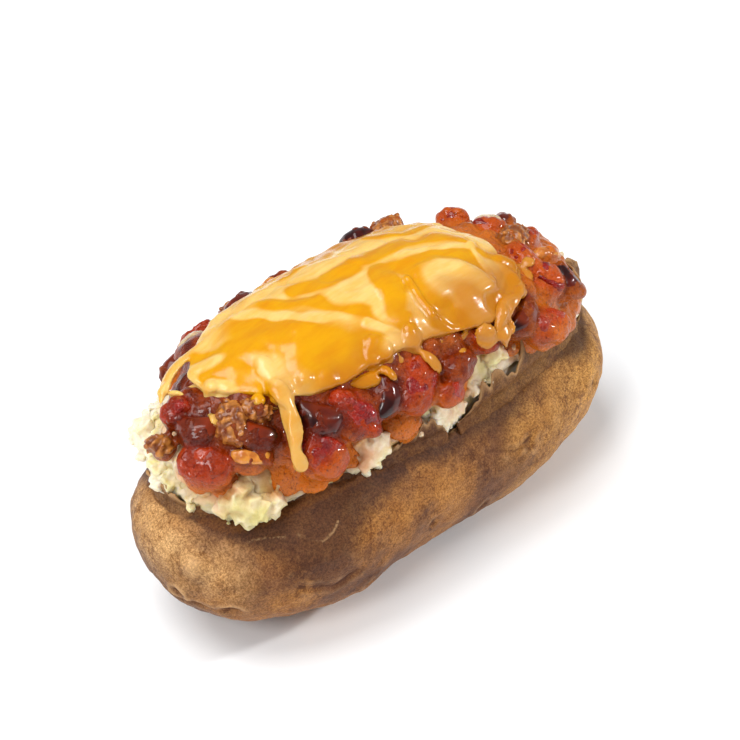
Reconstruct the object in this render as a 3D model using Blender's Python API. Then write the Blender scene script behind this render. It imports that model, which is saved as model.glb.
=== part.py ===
"""A baked potato split along its top, its flesh fluffed up and heaped with chili and melted cheese.

Metres, +Z up. The origin is the centre of the flat spot that the potato rests on. +X runs along the
potato, and -Y is the side that the long strand of cheese hangs over.
"""

import math

import bmesh
import bpy
from mathutils import Matrix, Vector, noise

MM = 0.001
GAP = 0.3 * MM  # kept between neighbouring solids
LAYER_GAP = 0.9 * MM  # between the layers of the heap, whose facets curve
TOPPING_GAP = 0.45 * MM  # of the room that each topping is given

# The jacket: the whole potato, before it is split.
JACKET_HALF_LENGTH = 70 * MM
JACKET_HALF_WIDTH = 33.8 * MM
BELLY_HEIGHT = 27 * MM  # of the widest level above the table
CROWN = 20 * MM  # rise of the top above the widest level
KEEL = 29.2 * MM  # drop of the underside below it, before the flat spot is taken off
NEAR_BLUNTNESS = 0.79  # of the -X end: under 1 fills it out
FAR_BLUNTNESS = 0.8
NEAR_LOBE = 0.02  # share that each lobe adds to the girth, and the waist takes off
FAR_LOBE = 0.04
WAIST = 0.06
LOBE_PLACE = 42 * MM
LOBE_SPREAD = 22 * MM
WAIST_PLACE = -9 * MM
WAIST_SPREAD = 22 * MM
LUMP_HEIGHT = 1.0 * MM
LUMP_SPACING = 22 * MM

# The split: a boat-shaped hollow, open at the top, a little askew to the potato, as the heap is.
SKEW = Matrix.Rotation(math.radians(-4), 3, "Z")
BOAT_CENTRE = Vector((1, 1, 43.5)) * MM
BOAT_HALF_LENGTH = 64 * MM
BOAT_HALF_WIDTH = 24 * MM
BOAT_DEPTH = 25 * MM
BOAT_CUT_RISE = 60 * MM  # takes the cut clear of the crown
BOAT_FILL_RISE = 9 * MM  # ends the filling inside the heap

# The heap: the flesh above the split, and what lies on it in layers.
HEAP_CENTRE = Vector((-0.5, 1.5, 44.5)) * MM
HEAP_HALF = Vector((63, 24.5, 21.5)) * MM
HEAP_BLUNTNESS = 0.75
FAR_END_START = 5 * MM  # from here on the heap sinks towards its +X end
FAR_END_LOWERED = 0.61
FLESH_LUMP = 2.4 * MM
FLESH_LUMP_SPACING = 10 * MM
LUMPS_FADE_IN = math.radians(14)  # past the edge of the layer above
CHILI_THICKNESS = 5.5 * MM
CHILI_LUMP = 1.0 * MM
CHEESE_THICKNESS = 2.2 * MM
CHEESE_LUMP = 0.8 * MM
LAYER_LUMP_SPACING = 8 * MM

# Where flesh spills over the rim: along the heap in mm, roll from its top towards -Y in degrees,
# height and spread in mm.
SPILLS = ((-52, 84, 3.5, 9), (-40, 92, 2.5, 7), (-22, 84, 2.0, 8), (-57, -44, 3.0, 8),
          (-62, 40, -2.5, 9), (22, 72, 2.0, 6))

# How far down the heap each layer reaches: (turn about the vertical from +X, angle down from the
# top), in degrees, joined by smooth curves.
CHILI_REACH = ((-180, 62), (-160, 74), (-146, 67), (-122, 78), (-105, 66), (-92, 70), (-80, 58),
               (-62, 66), (-40, 68), (0, 72), (40, 70), (70, 76), (95, 66), (120, 74), (152, 54))
CHEESE_REACH = ((-180, 52), (-150, 47), (-120, 49), (-98, 42), (-74, 53), (-45, 41), (-22, 30),
                (20, 26), (60, 36), (90, 42), (120, 38), (150, 46))

# Strands that hang off the cheese: (name, places (along in mm, roll in degrees), half-width in mm).
STRANDS = (
    ("near", ((-32, 10), (-37, 28), (-40, 47), (-42, 68)), 2.1),
    ("end", ((-34, -12), (-45, -19), (-52, -16), (-56, -6)), 1.8),
    ("far", ((28, 18), (29, 34), (20, 45), (17, 60)), 2.0),
)
STRAND_HALF_THICKNESS = 1.0 * MM
STRAND_RISE = 8.6 * MM  # of its middle above the flesh

# What lies in the chili: (kind, along in mm, roll and heading in degrees, (half sizes in mm), rise of
# the middle above the flesh in mm). The first ones lie where they fell, and the later ones fit
# against them.
TOPPINGS = (
    ("bean", -54, 20, -42, (5.4, 3.6, 3.3), 6.3),
    ("bean", -46, 40, -50, (5.2, 3.5, 3.2), 6.0),
    ("bean", -32, 47, -36, (6.4, 4.4, 3.7), 5.8),
    ("bean", -17, 53, 56, (5.4, 3.3, 3.1), 6.4),
    ("bean", 4, 55, -7, (4.9, 3.3, 3.0), 6.2),
    ("bean", 27, 48, 31, (5.9, 3.2, 3.0), 6.6),
    ("bean", 47, 42, -75, (4.8, 2.8, 2.6), 6.2),
    ("bean", -25, -36, -10, (4.4, 3.2, 3.0), 6.8),
    ("bean", 12, -41, -33, (4.8, 3.1, 2.9), 7.8),
    ("tomato", -55, 1, 16, (3.5, 3.1, 2.7), 6.7),
    ("tomato", -56.5, 42, -42, (6.0, 4.6, 3.2), 5.4),
    ("tomato", -25, 53, -62, (7.2, 3.0, 2.7), 7.4),
    ("tomato", -35, 65, -50, (6.0, 4.8, 3.4), 5.6),
    ("tomato", -7.5, 55, 46, (7.2, 4.2, 3.3), 6.0),
    ("tomato", 0, 66, -8, (3.4, 2.6, 2.3), 6.0),
    ("tomato", 13.5, 51, -63, (3.2, 2.3, 2.0), 6.6),
    ("tomato", 33, 59, -16, (6.0, 4.0, 3.3), 6.0),
    ("tomato", 39, 20, -91, (5.3, 2.6, 2.6), 6.8),
    ("tomato", 41, 35, -55, (4.6, 3.6, 3.1), 6.4),
    ("tomato", 47, 4, 32, (4.2, 2.4, 2.3), 6.6),
    ("tomato", 41, -12, -56, (3.9, 2.9, 2.6), 7.0),
    ("tomato", 38, -33, -32, (3.9, 3.0, 2.7), 7.8),
    ("beef", -49, 30, 59, (5.0, 3.8, 3.3), 7.0),
    ("beef", -44, 30, -42, (3.8, 2.6, 2.5), 7.0),
    ("beef", -60, 8, -70, (3.2, 2.4, 2.2), 5.8),
    ("beef", 42, 4, 23, (4.6, 3.3, 3.0), 7.6),
    ("beef", 20, -38, -29, (4.6, 3.8, 3.3), 7.9),
    ("pepper", -49, 50, -28, (5.0, 1.9, 1.7), 6.6),
    ("pepper", 47, 20, -12, (4.6, 1.9, 1.7), 6.8),
    ("pepper", -14, -36, -33, (5.2, 1.8, 1.7), 7.8),
    ("onion", 45, -25, -35, (3.8, 2.8, 1.3), 7.4),
    ("bean", -40, -72, 20, (5.6, 3.4, 3.1), 4.0),
    ("bean", -10, -68, 15, (6.0, 3.6, 3.3), 5.8),
    ("bean", 24, -64, -30, (5.4, 3.3, 3.1), 6.0),
    ("bean", 52, -40, 60, (4.8, 2.9, 2.7), 5.4),
    ("tomato", -32, -66, -30, (5.6, 4.2, 3.2), 5.6),
    ("tomato", 3, -64, 50, (5.2, 3.8, 3.0), 5.8),
    ("tomato", 36, -66, 10, (4.8, 3.4, 2.8), 5.6),
    ("beef", -22, -62, 60, (4.6, 3.6, 3.0), 6.0),
    ("beef", 14, -66, 10, (4.4, 3.4, 3.0), 6.0),
    ("beef", 44, -56, -20, (4.2, 3.2, 2.8), 5.8),
    ("pepper", -3, -52, -60, (4.8, 1.8, 1.7), 6.2),
    ("onion", -38, -48, 0, (4.0, 3.0, 1.3), 6.2),
)
FINISHES = {  # colour and roughness
    "bean": ((0.13, 0.02, 0.012), 0.25),
    "tomato": ((0.55, 0.035, 0.015), 0.3),
    "beef": ((0.32, 0.12, 0.045), 0.6),
    "pepper": ((0.62, 0.22, 0.05), 0.35),
    "onion": ((0.55, 0.42, 0.25), 0.4),
}
BOXINESS = {"bean": 1.0, "tomato": 0.75, "beef": 0.9, "pepper": 0.6, "onion": 0.7}
BEAN_BEND = 0.35  # share of its half-width that a bean's ends curve towards its eye
STRIP_BEND = 0.8  # share of its half-thickness that a strip's ends curl down
CRUMBLE = 0.16  # how rough a crumb of beef is
CRUMBLE_SIZE = 0.5  # of its lumps, as a share of the crumb

# Facets around and along each kind of piece.
JACKET_FACETS = (28, 18)
BOAT_FACETS = (24, 10)
FLESH_FACETS = (30, 16)
CHILI_FACETS = (34, 10)
CHEESE_FACETS = (30, 9)
STRAND_FACETS = (8, 12)
BEAN_FACETS = (8, 6)
TOPPING_FACETS = (8, 5)
STRAND_STEP = 0.02  # share of a strand's length over which its heading is taken


def fresh_collection(name):
    """Empties the scene and adds the collection that the object's pieces go in."""
    for old in list(bpy.data.objects):
        bpy.data.objects.remove(old, do_unlink=True)
    made = bpy.data.collections.new(name)
    bpy.context.scene.collection.children.link(made)
    return made


def finish(name, colour, roughness):
    """A plain food material."""
    material = bpy.data.materials.new(name)
    material.use_nodes = True
    shader = material.node_tree.nodes["Principled BSDF"]
    shader.inputs["Base Color"].default_value = (*colour, 1)
    shader.inputs["Roughness"].default_value = roughness
    return material


def signed_power(value, exponent):
    return math.copysign(abs(value) ** exponent, value)


def swell(x, centre, spread):
    """A smooth bump of height 1."""
    return math.exp(-(((x - centre) / spread) ** 2))


def girth(x):
    """The jacket's thickness along its length: two lobes with a shallow waist between them."""
    far = FAR_LOBE * swell(x, LOBE_PLACE, LOBE_SPREAD)
    near = NEAR_LOBE * swell(x, -LOBE_PLACE, LOBE_SPREAD)
    return 1 + far + near - WAIST * swell(x, WAIST_PLACE, WAIST_SPREAD)


def between(low, high, share):
    """Goes smoothly from low to high as share goes from 0 to 1."""
    share = min(1, max(0, share))
    return low + (high - low) * share * share * (3 - 2 * share)


def reach(places, turn):
    """A layer's reach at this turn, between the nearest two places of its closed outline."""
    turn = math.degrees(turn)
    closed = (*places, (places[0][0] + 360, places[0][1]))
    for (start, low), (end, high) in zip(closed, closed[1:]):
        if turn <= end:
            return math.radians(between(low, high, (turn - start) / (end - start)))
    return math.radians(places[0][1])


def sphere_mesh(name, facets, place, poles="X"):
    """A UV sphere, its vertices moved by place(unit), a function of the direction from its centre."""
    turn = Matrix.Rotation(math.pi / 2, 4, "Y") if poles == "X" else Matrix.Identity(4)
    shape = bmesh.new()
    bmesh.ops.create_uvsphere(shape, u_segments=facets[0], v_segments=facets[1], radius=1, matrix=turn)
    for vertex in shape.verts:
        vertex.co = place(vertex.co.normalized())
    bmesh.ops.recalc_face_normals(shape, faces=shape.faces)
    mesh = bpy.data.meshes.new(name)
    shape.to_mesh(mesh)
    shape.free()
    return mesh


def blunt(unit, half, bluntness):
    """The point in this direction of an ellipsoid with its ends filled out, and the normal there."""
    radial = max(1e-6, math.hypot(unit.y, unit.z))
    fill = radial ** (bluntness - 1)
    share = Vector((signed_power(unit.x, bluntness), unit.y * fill, unit.z * fill))
    slope = signed_power(unit.x, 2 - bluntness) / half.x
    outward = Vector((slope, unit.y / fill / half.y, unit.z / fill / half.z))
    return share * half, outward.normalized()


def jacket_point(unit, grow=0.0):
    """The outside of the whole potato in this direction, moved out by grow."""
    half = Vector((JACKET_HALF_LENGTH, JACKET_HALF_WIDTH, CROWN if unit.z > 0 else KEEL))
    point, outward = blunt(unit, half, FAR_BLUNTNESS if unit.x > 0 else NEAR_BLUNTNESS)
    point.y *= girth(point.x)
    point.z *= (1 + girth(point.x)) / 2
    lump = noise.noise(point / LUMP_SPACING) * LUMP_HEIGHT
    point += outward * (lump + grow)
    point.z = max(point.z + BELLY_HEIGHT, 0)
    return point


def boat_point(unit, rise, grow=0.0):
    """The hollow of the split in this direction. Its upper half is drawn out to the given rise."""
    half = Vector((BOAT_HALF_LENGTH, BOAT_HALF_WIDTH, rise if unit.z > 0 else BOAT_DEPTH))
    outward = Vector((unit.x / half.x, unit.y / half.y, unit.z / half.z)).normalized()
    return BOAT_CENTRE + SKEW @ (unit * half + outward * grow)


def heap_frame(unit):
    """The point of the heap's even base surface in this direction, and its outward normal."""
    point, outward = blunt(unit, HEAP_HALF, HEAP_BLUNTNESS)
    point.z *= between(1, FAR_END_LOWERED, (point.x - FAR_END_START) / (HEAP_HALF.x - FAR_END_START))
    return HEAP_CENTRE + SKEW @ point, SKEW @ outward


def heap_unit(along, roll):
    """The direction of the place this far along the heap, rolled from its top towards -Y."""
    x = signed_power((along * MM - HEAP_CENTRE.x) / HEAP_HALF.x, 1 / HEAP_BLUNTNESS)
    radial = math.sqrt(1 - x * x)
    roll = math.radians(roll)
    return Vector((x, -math.sin(roll) * radial, math.cos(roll) * radial))


def bare(unit, places):
    """0 under a layer, rising to 1 past its edge."""
    down = math.acos(max(-1, min(1, unit.z)))
    return between(0, 1, (down - reach(places, math.atan2(unit.y, unit.x))) / LUMPS_FADE_IN)


def flesh_point(unit):
    """The fluffed flesh: even under the chili, lumpy where it shows."""
    point, outward = heap_frame(unit)
    rise = FLESH_LUMP * noise.noise(point / FLESH_LUMP_SPACING)
    for along, roll, height, spread in SPILLS:
        distance = (point - heap_frame(heap_unit(along, roll))[0]).length
        rise += height * MM * swell(distance, 0, spread * MM)
    return point + outward * rise * bare(unit, CHILI_REACH)


def shell_point(unit, places, low, thickness, lump):
    """A layer made from a sphere whose lower half is pushed up inside its upper half."""
    share = math.acos(min(1, abs(unit.z))) / (math.pi / 2)  # 0 at the top, 1 at the layer's edge
    turn = math.atan2(unit.y, unit.x)
    down = share * reach(places, turn)
    way = Vector((math.sin(down) * math.cos(turn), math.sin(down) * math.sin(turn), math.cos(down)))
    point, outward = heap_frame(way)
    if unit.z <= 0:
        return point + outward * low
    rise = thickness + lump(way) * noise.noise(point / LAYER_LUMP_SPACING)
    return point + outward * (low + rise * math.sqrt(max(0, 1 - share**4)))


def chili_point(unit):
    def lump(way):
        return CHILI_LUMP * bare(way, CHEESE_REACH)

    return shell_point(unit, CHILI_REACH, LAYER_GAP, CHILI_THICKNESS, lump)


def cheese_point(unit):
    under = CHILI_THICKNESS + 2 * LAYER_GAP
    return shell_point(unit, CHEESE_REACH, under, CHEESE_THICKNESS, lambda way: CHEESE_LUMP)


def along_path(places, share):
    """The place this share of the way along a path, on smooth curves between its places."""
    share = min(1, max(0, share))
    step = min(len(places) - 2, int(share * (len(places) - 1)))
    part = share * (len(places) - 1) - step
    before, start = places[max(0, step - 1)], places[step]
    end, after = places[step + 1], places[min(len(places) - 1, step + 2)]
    curve = []
    for a, b, c, d in zip(before, start, end, after):
        cubic = 3 * (b - c) + d - a
        square = 2 * a - 5 * b + 4 * c - d
        curve.append(b + part * (c - a + part * (square + part * cubic)) / 2)
    return curve


def strand_point(unit, places, half_width):
    """A ribbon of cheese that follows the places over the chili."""
    share = math.acos(max(-1, min(1, -unit.x))) / math.pi
    point, outward = heap_frame(heap_unit(*along_path(places, share)))
    ahead = heap_frame(heap_unit(*along_path(places, share + STRAND_STEP)))[0]
    behind = heap_frame(heap_unit(*along_path(places, share - STRAND_STEP)))[0]
    side = outward.cross(ahead - behind).normalized()
    fill = max(1e-6, math.hypot(unit.y, unit.z)) ** -0.5
    rise = STRAND_RISE + unit.z * fill * STRAND_HALF_THICKNESS
    return point + side * unit.y * fill * half_width + outward * rise


def topping_frame(topping):
    """The middle of a topping, and the directions of its length, width and height."""
    kind, along, roll, heading, half, rise = topping
    base, outward = heap_frame(heap_unit(along, roll))
    ahead = (SKEW.col[0] - outward * outward.dot(SKEW.col[0])).normalized()
    ahead = Matrix.Rotation(math.radians(heading), 3, outward) @ ahead
    return base + outward * rise * MM, ahead, outward.cross(ahead), outward


def topping_point(unit, topping, number, grow=0.0):
    """A topping's surface in this direction from its own middle, moved out by grow."""
    kind, half = topping[0], Vector(topping[4]) * MM
    power = BOXINESS[kind]
    point = Vector([signed_power(share, power) * size for share, size in zip(unit, half)])
    if kind == "bean":
        point.y += BEAN_BEND * half.y * (2 * unit.x * unit.x - 1)
    elif kind in ("pepper", "onion"):
        point.z -= STRIP_BEND * half.z * unit.x * unit.x
    elif kind == "beef":
        point *= 1 + CRUMBLE * noise.noise(unit / CRUMBLE_SIZE + Vector((number, 0, 0)))
    point += Vector((unit.x / half.x, unit.y / half.y, unit.z / half.z)).normalized() * grow
    middle, ahead, aside, outward = topping_frame(topping)
    return middle + ahead * point.x + aside * point.y + outward * point.z


def add_piece(group, name, mesh, material):
    mesh.materials.append(material)
    mesh.shade_smooth()
    piece = bpy.data.objects.new(name, mesh)
    group.objects.link(piece)
    return piece


def add_cutter(group, name, mesh):
    tool = bpy.data.objects.new(name, mesh)
    tool.hide_render = True
    tool.display_type = "WIRE"
    group.objects.link(tool)
    return tool


def cut(piece, tool, operation="DIFFERENCE"):
    modifier = piece.modifiers.new(tool.name, "BOOLEAN")
    modifier.operation = operation
    if isinstance(tool, bpy.types.Collection):
        modifier.operand_type = "COLLECTION"
        modifier.collection = tool
    else:
        modifier.object = tool


def boat_tool(group, name, rise, grow=0.0):
    mesh = sphere_mesh(name, BOAT_FACETS, lambda unit: boat_point(unit, rise, grow))
    return add_cutter(group, name, mesh)


def add_jacket(collection, cutters):
    """The whole potato less the hollow of the split."""
    mesh = sphere_mesh("jacket", JACKET_FACETS, jacket_point)
    jacket = add_piece(collection, "jacket", mesh, finish("baked_skin", (0.30, 0.15, 0.07), 0.7))
    cut(jacket, boat_tool(cutters, "split", BOAT_CUT_RISE))


def add_flesh(collection, cutters, rooms):
    """The heap joined to what fills the split, less the jacket's room."""
    mesh = sphere_mesh("flesh", FLESH_FACETS, flesh_point)
    flesh = add_piece(collection, "flesh", mesh, finish("potato_flesh", (0.80, 0.72, 0.50), 0.6))
    mesh = sphere_mesh("jacket_room", JACKET_FACETS, lambda unit: jacket_point(unit, GAP))
    jacket_room = add_cutter(cutters, "jacket_room", mesh)
    cut(jacket_room, boat_tool(cutters, "split_room", BOAT_CUT_RISE, -GAP))
    cut(flesh, rooms)
    cut(flesh, boat_tool(cutters, "split_fill", BOAT_FILL_RISE, -2 * GAP), "UNION")
    cut(flesh, jacket_room)


def add_layers(collection, cutters, rooms):
    """The chili, and the cheese with the strands that hang off it."""
    mesh = sphere_mesh("chili", CHILI_FACETS, chili_point, "Z")
    chili = add_piece(collection, "chili", mesh, finish("chili_sauce", (0.35, 0.06, 0.02), 0.25))
    mesh = sphere_mesh("cheese", CHEESE_FACETS, cheese_point, "Z")
    cheese = add_piece(collection, "cheese", mesh, finish("melted_cheese", (0.90, 0.45, 0.03), 0.3))
    for name, places, half_width in STRANDS:
        mesh = sphere_mesh(name, STRAND_FACETS, lambda unit: strand_point(unit, places, half_width * MM))
        cut(cheese, add_cutter(cutters, "strand_" + name, mesh), "UNION")
    cut(chili, rooms)
    cut(cheese, rooms)


def add_toppings(collection, rooms):
    """Each topping, less the rooms of the earlier ones beside it."""
    finishes = {}
    for kind, (colour, roughness) in FINISHES.items():
        finishes[kind] = finish(kind, colour, roughness)
    counts = dict.fromkeys(FINISHES, 0)
    placed = []
    for number, topping in enumerate(TOPPINGS):
        kind, span, middle = topping[0], topping[4][0] * MM, topping_frame(topping)[0]
        counts[kind] += 1
        name = f"{kind}_{counts[kind]}"
        facets = BEAN_FACETS if kind == "bean" else TOPPING_FACETS
        mesh = sphere_mesh(name, facets, lambda unit: topping_point(unit, topping, number))
        piece = add_piece(collection, name, mesh, finishes[kind])
        name += "_room"
        mesh = sphere_mesh(name, facets, lambda unit: topping_point(unit, topping, number, TOPPING_GAP))
        for other_middle, other_span, other_room in placed:
            if (other_middle - middle).length < span + other_span:
                cut(piece, other_room)
        placed.append((middle, span, add_cutter(rooms, name, mesh)))


def build():
    collection = fresh_collection("loaded_baked_potato")
    cutters = bpy.data.collections.new("cutters")
    bpy.context.scene.collection.children.link(cutters)
    rooms = bpy.data.collections.new("topping_rooms")
    cutters.children.link(rooms)
    add_jacket(collection, cutters)
    add_flesh(collection, cutters, rooms)
    add_layers(collection, cutters, rooms)
    add_toppings(collection, rooms)


build()
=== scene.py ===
"""The looks of a loaded baked potato: skin, fluffed flesh, chili, melted cheese and what lies in them."""

import math
import random

import bmesh
import bpy
import numpy as np
from mathutils import Matrix, Vector, noise
from mathutils.bvhtree import BVHTree


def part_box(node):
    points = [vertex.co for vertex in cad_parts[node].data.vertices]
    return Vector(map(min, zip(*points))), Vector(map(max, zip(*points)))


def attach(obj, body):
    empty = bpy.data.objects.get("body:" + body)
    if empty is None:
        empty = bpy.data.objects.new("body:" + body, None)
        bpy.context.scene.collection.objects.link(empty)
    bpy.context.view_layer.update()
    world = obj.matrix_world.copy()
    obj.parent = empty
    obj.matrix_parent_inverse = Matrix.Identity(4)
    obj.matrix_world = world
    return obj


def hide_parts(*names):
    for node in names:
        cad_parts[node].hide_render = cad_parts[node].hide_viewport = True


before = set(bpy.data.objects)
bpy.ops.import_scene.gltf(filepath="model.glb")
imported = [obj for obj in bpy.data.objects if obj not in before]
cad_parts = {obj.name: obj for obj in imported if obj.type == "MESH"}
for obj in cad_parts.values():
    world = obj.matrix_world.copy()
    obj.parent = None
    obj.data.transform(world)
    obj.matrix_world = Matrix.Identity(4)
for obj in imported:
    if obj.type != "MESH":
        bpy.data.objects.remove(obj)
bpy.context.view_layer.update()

MM = 0.001
LAYERS = ("jacket", "flesh", "chili", "cheese")
TOPPINGS = sorted(set(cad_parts) - set(LAYERS))

# Places on the heap are (mm along it, degrees rolled from its top towards -Y) about this line.
AXIS_SIDE = 1.5 * MM
AXIS_HEIGHT = 40 * MM
AXIS_SKEW = math.radians(-4)
OUTSIDE = 90 * MM

# Half the potato's length and width in mm.
HALF_LENGTH = 70
HALF_WIDTH = 33.8

# The size of the even faces that each piece is rebuilt with, in mm.
FACE = {
    "jacket": 0.7,
    "flesh": 1.0,
    "crumbs": 0.36,
    "chili": 0.54,
    "cheese": 0.45,
    "beef": 0.3,
    "topping": 0.36,
}

# How many loose crumbs of flesh, bits in the sauce and further shreds of cheese on the far side.
CRUMBS = 1250
SAUCE_BITS = 3200
FAR_SHREDS = 26

# The shreds that melted into the cheese: golden 1 or creamy 0, half-width and height in mm, places.
SHREDS = (
    (1, 2.0, 0.5, ((-47, -12), (-44, -4), (-41, -1))),
    (0, 2.6, 0.8, ((-51, -4), (-49, -3), (-47, -4), (-43, 3))),
    (1, 3.2, 0.5, ((-50, 4), (-47, 6), (-44, 6))),
    (0, 2.2, 0.8, ((-50, 8), (-47, 14), (-44, 17), (-44, 22))),
    (1, 3.4, 0.7, ((-41, 4), (-44, 13), (-44, 21), (-43, 25))),
    (0, 2.8, 0.6, ((-38, 9), (-38, 16), (-38, 23))),
    (1, 8.5, 0.9, ((-33, -2), (-29, 9), (-26, 22), (-23, 30), (-18, 32))),
    (0, 1.7, 0.9, ((-33, -15), (-28, -6), (-24, 6), (-16, 12), (-12, 15))),
    (1, 2.8, 0.9, ((-26, -10), (-20, -3), (-15, 7), (-10, 17), (-9, 21))),
    (0, 2.8, 0.5, ((-25, -19), (-22, -15), (-18, -7))),
    (0, 3.8, 0.8, ((-12, 4), (-8, 7), (-5, 15), (-7, 20))),
    (1, 2.4, 0.6, ((-19, -9), (-11, -6), (-4, -5))),
    (0, 3.0, 0.7, ((-13, -17), (-6, -17), (2, -18), (6, -15))),
    (0, 2.3, 0.6, ((-9, 1), (-4, 1), (0, 3))),
    (1, 1.9, 0.6, ((-10, -8), (-5, -7), (1, -8), (8, -6), (11, -6))),
    (1, 3.0, 0.7, ((0, 2), (-1, 8), (-1, 14))),
    (1, 2.5, 0.8, ((0, -8), (5, -6), (11, -6), (18, -5), (24, 1), (27, 6))),
    (0, 2.8, 0.7, ((17, -10), (25, -13), (29, -8), (30, -3))),
    (1, 2.5, 0.8, ((4, 5), (9, 7), (16, 8), (22, 12), (23, 20))),
    (0, 1.2, 0.8, ((8, 0), (14, 3), (19, 5), (25, 10))),
    (1, 3.0, 0.9, ((0, 3), (-2, 11), (-3, 17), (-6, 23), (-6, 29))),
    (1, 3.4, 0.6, ((6, 12), (4, 18), (5, 26), (5, 32), (8, 39))),
    (1, 1.1, 1.9, ((3, 12), (2, 17), (1, 24), (2, 31), (4, 38), (9, 45), (10, 51))),
    (0, 5.6, 2.0, ((10, 20), (13, 20), (15, 25), (15, 31), (14, 35))),
    (0, 2.2, 0.9, ((29, 5), (32, 9))),
    (0, 1.4, 1.4, ((26, 9), (25, 16), (24, 23), (22, 26))),
    (1, 2.0, 0.7, ((27, 14), (29, 19), (32, 26))),
    (0, 2.8, 0.6, ((25, 23), (28, 28), (26, 31))),
    (1, 2.6, 0.7, ((18, 37), (25, 35), (29, 31))),
    (0, 1.1, 1.0, ((35, 33), (28, 38), (23, 41))),
    (0, 1.3, 1.3, ((-13, 20), (-11, 27), (-9, 32), (-9, 36))),
    (1, 2.4, 0.7, ((1, 35), (4, 41), (4, 45))),
    (0, 2.8, 0.5, ((-3, 33), (0, 39), (0, 42))),
    (0, 2.4, 0.8, ((-13, 33), (-10, 35), (-10, 40))),
    (0, 1.6, 1.0, ((-17, 34), (-15, 37), (-13, 40))),
    (0, 1.8, 1.0, ((-54, -4), (-55, 2), (-54, 12), (-51, 12))),
)

# Cheese that ran out over the chili: place, radius and thickness in mm.
CHEESE_LOBES = (
    (-53, 3, 4.8, 1.0), (-50, 10, 4.0, 1.0), (-45, 19, 4.2, 1.0), (-41, 25, 3.8, 0.9), (-31, 30, 5.0, 0.9),
    (-20, 34, 5.4, 0.9), (-12, 35, 4.4, 0.9), (-3, 35, 4.2, 0.9), (4, 40, 3.8, 0.9), (10, 44, 3.4, 0.8),
    (24, 39, 4.4, 0.8), (33, 27, 4.8, 0.9), (36, 6, 4.2, 0.9), (34, -12, 4.2, 0.9), (-40, -37, 4.8, 0.9),
    (-24, -47, 4.4, 0.9), (-6, -43, 5.0, 0.9), (12, -47, 4.2, 0.9), (26, -37, 4.6, 0.9), (-50, -22, 4.4, 0.9),
)

# The cheese's front edge.
CHEESE_EDGE = (
    (-54, -1), (-54, 10), (-51, 12), (-47, 18), (-43, 24), (-38, 28), (-34, 32),
    (-27, 34), (-19, 39), (-15, 39), (-8, 35), (-2, 40), (4, 44), (10, 48),
    (15, 44), (25, 44), (33, 37), (39, 22), (38, -2), (37, -15), (42, -40),
)

# Strands and tongues of cheese that hang over the chili: half-width and thickness in mm, places.
STRANDS = (
    (1.8, 0.9, (
        (-39, 13), (-40, 20), (-41, 27), (-41, 35), (-43, 43), (-45, 50), (-45, 57), (-41, 64), (-40, 69),
    )),
    (1.7, 0.6, ((30, 20), (36, 24), (36, 31), (26, 38), (20, 41), (17, 45), (16, 50))),
    (2.0, 0.8, ((-15, 28), (-14, 36), (-13, 44))),
    (1.3, 0.6, ((-17, 30), (-18, 37), (-16, 43))),
    (1.5, 0.7, ((-51, 8), (-54, 14), (-55, 22))),
    (1.7, 0.7, ((-6, 32), (-7, 38), (-5, 45), (-4, 49))),
    (1.5, 0.7, ((-28, -40), (-30, -50), (-27, -60))),
    (1.7, 0.7, ((14, -42), (16, -52), (13, -62))),
)

# Chili that ran down over the flesh: place, radius and thickness in mm.
CHILI_POURS = (
    (-38, 71, 4.6, 1.3), (-44, 66, 4.6, 1.5), (-33, 71, 4.2, 1.2), (-13, 64, 5.5, 2.2), (-12, 71, 3.8, 1.6),
    (5, 64, 3.6, 1.6), (4, 69, 2.6, 1.2), (-59, 40, 4.5, 1.5), (-57, 52, 4.0, 1.3), (44, 60, 6.0, 1.8),
    (50, 56, 5.0, 1.8), (38, 63, 5.0, 1.6), (-28, 68, 4.0, 1.3), (24, 56, 4.4, 1.4), (30, 61, 4.4, 1.4),
    (-44, -62, 4.6, 1.5), (-20, -67, 4.4, 1.4), (4, -68, 4.0, 1.4), (30, -65, 4.6, 1.5), (52, -40, 4.6, 1.5),
)

# How much more, or less, of a topping the chili covers, in mm.
COVER = {
    "bean_2": -0.1, "bean_3": -0.4, "bean_4": -0.3, "bean_5": 0.4, "bean_7": 0.2, "bean_8": -0.4,
    "bean_9": -0.4,
    "beef_1": -0.3, "beef_2": -0.3, "beef_3": -0.7, "beef_4": -0.5, "beef_5": -0.4,
    "pepper_1": -0.5, "pepper_2": -0.4, "pepper_3": -0.5,
    "tomato_1": -0.4, "tomato_3": -0.3, "tomato_4": 0.1, "tomato_5": 0.1, "tomato_6": 0.4, "tomato_8": 0.4,
    "tomato_9": 0.3,
}

# Clumps of broken flesh: place, spread in mm, how many, smallest and largest half-size in mm.
CLUMPS = (
    (-56, 72, 4.2, 70, 1.1, 2.5), (-49, 77, 2.4, 18, 1.0, 2.0), (-60, 28, 4.6, 36, 0.9, 2.1),
    (-60, -38, 5.0, 40, 0.8, 1.9), (-23, 71, 4.6, 46, 0.8, 1.9), (0, 71, 4.8, 46, 0.8, 1.9),
    (17, 58, 2.6, 14, 1.0, 2.0), (3, -38, 3.0, 14, 0.8, 1.6), (53, 58, 2.2, 8, 0.7, 1.3),
    (-40, -90, 5.0, 46, 0.8, 1.9), (-6, -90, 6.0, 56, 0.8, 2.0), (34, -86, 5.0, 40, 0.8, 1.8),
    (60, -10, 4.0, 24, 0.8, 1.7), (-62, -5, 4.0, 26, 0.8, 1.8),
)

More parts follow.
